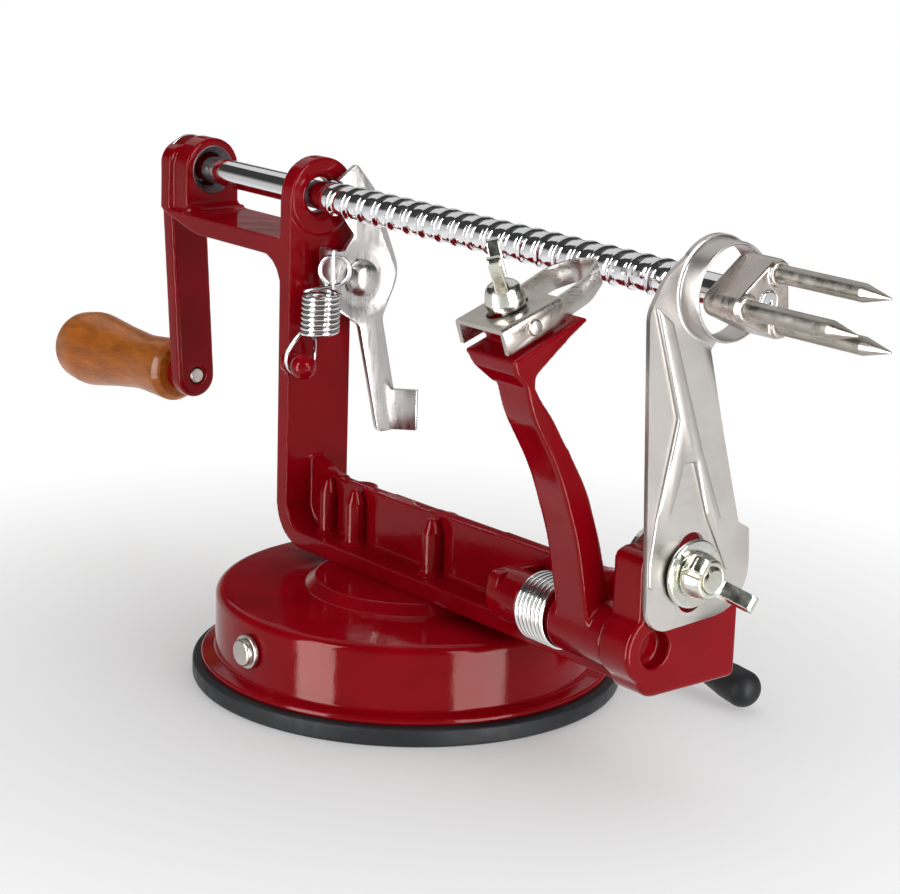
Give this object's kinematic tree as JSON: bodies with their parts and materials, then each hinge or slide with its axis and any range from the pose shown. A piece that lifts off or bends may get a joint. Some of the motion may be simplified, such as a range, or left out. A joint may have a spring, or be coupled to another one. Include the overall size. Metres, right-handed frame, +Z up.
{
  "type": "apple peeler, corer and slicer",
  "caption": "Hand cranked apple peeler, corer and slicer on a suction base, with a feed screw, fork, sprung peeling arm and coring plate.",
  "frame": {"origin": "centre of the suction cup's underside on the table", "axes": "+Z up, +X along the feed screw towards the fork, -Y towards the peeling arm"},
  "size_m": [0.3186, 0.1116, 0.1304],
  "materials": {
    "enamel": "glossy crimson enamel on cast metal",
    "stainless": "brushed stainless sheet",
    "chrome": "polished bright plating",
    "nickel": "satin nickel plate with fine scratches",
    "tine_steel": "tumbled grey steel",
    "blade_steel": "bright spring steel strip",
    "zinc": "bright zinc plate with a bluish yellow tint",
    "spring_wire": "bright nickel plated wire",
    "wood": "varnished orange brown wood",
    "rubber": "dark grey rubber"
  },
  "bodies": {
    "base": {"suction_base": "enamel", "suction_cup": "rubber", "frame_casting": "enamel", "frame_screw_left": "zinc", "frame_screw_right": "zinc", "carriage_bolt": "zinc", "lever_rivet": "nickel", "arm_pivot_pin": "nickel", "lever_spring": "spring_wire"},
    "cam": {"cam_axle": "nickel", "axle_washer": "nickel", "suction_lever": "zinc", "lever_grip": "rubber"},
    "stud": {"suction_stud": "zinc"},
    "feed": {"thrust_washer": "chrome"},
    "screw": {"feed_shaft": "chrome", "crank_arm": "enamel", "handle_rivet": "nickel", "fork_hub": "nickel", "fork_tine_1": "tine_steel", "fork_tine_2": "tine_steel", "fork_tine_3": "tine_steel"},
    "grip": {"handle": "wood"},
    "release": {"release_lever": "nickel"},
    "arm": {"peeling_arm": "enamel", "arm_spring": "spring_wire"},
    "holder": {"blade_holder": "nickel", "peeler_blade": "blade_steel", "blade_rivet_left": "nickel", "blade_rivet_right": "nickel"},
    "holder_screw": {"holder_wing_screw": "zinc"},
    "slicer_clamp": {"bolt_washer": "zinc"},
    "slicer": {"slicer_plate": "stainless"},
    "wing_nut": {"slicer_wing_nut": "zinc"}
  },
  "joints": [
    {"name": "suction_turn", "type": "hinge", "parent": "base", "child": "cam", "pos_m": [0, 0, 0.015], "axis": [0, -1, 0], "range_deg": [0, 180]},
    {"name": "suction_lift", "type": "slide", "parent": "base", "child": "stud", "axis": [0, 0, 1], "range_m": [0, 0.002]},
    {"name": "screw_feed", "type": "slide", "parent": "base", "child": "feed", "axis": [1, 0, 0], "range_m": [-0.0996, 0]},
    {"name": "crank_turn", "type": "hinge", "parent": "feed", "child": "screw", "pos_m": [0, 0, 0.118], "axis": [1, 0, 0], "range_deg": [0, 5760]},
    {"name": "handle_spin", "type": "hinge", "parent": "screw", "child": "grip", "pos_m": [-0.1111, 0.00363, 0.05691], "axis": [-0.999, 0, -0.0454], "continuous": true},
    {"name": "release_push", "type": "hinge", "parent": "base", "child": "release", "pos_m": [-0.036, 0.0102, 0.096], "axis": [-1, 0, 0], "range_deg": [0, 12], "stiffness_Nm_per_rad": 0.6, "springref_deg": -11.46, "deforming": ["lever_spring"]},
    {"name": "arm_swing", "type": "hinge", "parent": "base", "child": "arm", "pos_m": [0.0796, -0.0111, 0.0372], "axis": [1, 0, 0], "range_deg": [0, 40], "stiffness_Nm_per_rad": 0.4, "springref_deg": -68.75},
    {"name": "holder_slide", "type": "slide", "parent": "arm", "child": "holder", "axis": [0, 0.9421, 0.3355], "range_m": [-0.003, 0.003]},
    {"name": "holder_screw_turn", "type": "hinge", "parent": "arm", "child": "holder_screw", "pos_m": [0.0779, -0.0374, 0.1135], "axis": [0, -0.3355, 0.9421], "continuous": true},
    {"name": "slicer_swing", "type": "hinge", "parent": "base", "child": "slicer_clamp", "pos_m": [0.1036, -0.0032, 0.0544], "axis": [1, 0, 0], "range_deg": [-4, 4]},
    {"name": "slicer_height", "type": "slide", "parent": "slicer_clamp", "child": "slicer", "axis": [0, -0.0506, 0.9987], "range_m": [-0.0045, 0.0045]},
    {"name": "wing_nut_turn", "type": "hinge", "parent": "base", "child": "wing_nut", "pos_m": [0.1058, -0.0032, 0.0544], "axis": [1, 0, 0], "continuous": true}
  ],
  "couplings": [
    {"joint": "screw_feed", "follows": "crank_turn", "m_per_rad": -0.00098994},
    {"joint": "suction_lift", "follows": "suction_turn", "m_per_rad": 0.00063598}
  ]
}
